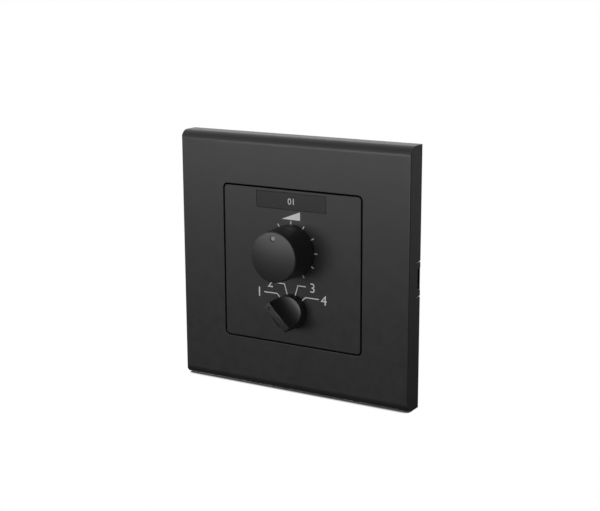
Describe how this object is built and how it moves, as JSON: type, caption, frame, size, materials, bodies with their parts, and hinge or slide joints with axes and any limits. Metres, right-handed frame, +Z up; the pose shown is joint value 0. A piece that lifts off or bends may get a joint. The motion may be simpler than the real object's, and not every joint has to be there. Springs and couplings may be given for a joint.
{
  "type": "audio zone controller wall plate",
  "caption": "Square wall plate with a flush centre panel, a round volume knob and a stepped source selector knob, on a mounting frame with its controls and a terminal board behind.",
  "frame": {"origin": "midway between the two wall screws, on the wall plane", "axes": "+X to the right seen from the front, +Y into the wall, +Z up"},
  "size_m": [0.086, 0.0416, 0.086],
  "materials": {
    "faceplate_plastic": "fine satin moulding, dark grey",
    "panel_plastic": "fine satin moulding, dark grey",
    "knob_plastic": "smooth satin moulding, near black",
    "frame_plastic": "moulded, dark grey",
    "window_plastic": "clear smoked sheet",
    "card": "dull dark card",
    "zinc_steel": "zinc plated",
    "clip_steel": "oiled spring steel",
    "nickel_steel": "nickel plated",
    "bushing_metal": "nickel plated, threaded",
    "can_steel": "drawn tinned sheet",
    "shaft_aluminium": "turned",
    "laminate": "brown paper laminate",
    "nylon": "natural nylon",
    "switch_plastic": "brown thermoset",
    "spring_bronze": "sprung sheet",
    "contact_brass": "plated rivets and pins",
    "tinned_pins": "tinned",
    "board_laminate": "green glass laminate with solder mask",
    "block_plastic": "green moulding",
    "cage_brass": "tinned brass",
    "resistor_body": "glazed black chip",
    "capacitor_body": "fired ceramic chip",
    "print_ink": "light grey printing on the panel"
  },
  "bodies": {
    "wall_unit": {"faceplate_frame": "faceplate_plastic", "centre_panel": "panel_plastic", "label_window": "window_plastic", "label_card": "card", "mounting_frame": "frame_plastic", "panel_screws": "zinc_steel", "volume_nut": "nickel_steel", "volume_washer": "nickel_steel", "volume_bushing": "bushing_metal", "volume_can": "can_steel", "volume_track": "laminate", "volume_pins": "tinned_pins", "selector_nut": "nickel_steel", "selector_washer": "nickel_steel", "selector_bushing": "bushing_metal", "switch_body": "switch_plastic", "detent_spring": "spring_bronze", "switch_stator": "laminate", "fixed_contacts": "contact_brass", "terminal_board": "board_laminate", "board_screws": "zinc_steel", "terminal_block": "block_plastic", "terminal_cages": "cage_brass", "terminal_screws": "zinc_steel", "ladder_resistors": "resistor_body", "filter_capacitors": "capacitor_body"},
    "volume": {"volume_knob": "knob_plastic", "volume_shaft": "shaft_aluminium", "volume_clip": "clip_steel", "volume_wiper": "spring_bronze", "volume_rotor": "nylon"},
    "selector": {"selector_knob": "knob_plastic", "selector_shaft": "shaft_aluminium", "selector_clip": "clip_steel", "detent_wheel": "nylon", "contact_carrier": "nylon", "moving_contact": "spring_bronze"}
  },
  "joints": [
    {"name": "volume_turn", "type": "hinge", "parent": "wall_unit", "child": "volume", "pos_m": [0, -0.008, 0.0058], "axis": [0, 1, 0], "range_deg": [-150, 150]},
    {"name": "selector_turn", "type": "hinge", "parent": "wall_unit", "child": "selector", "pos_m": [0, -0.008, -0.0146], "axis": [0, 1, 0], "range_deg": [0, 90], "deforming": ["detent_spring"]}
  ]
}
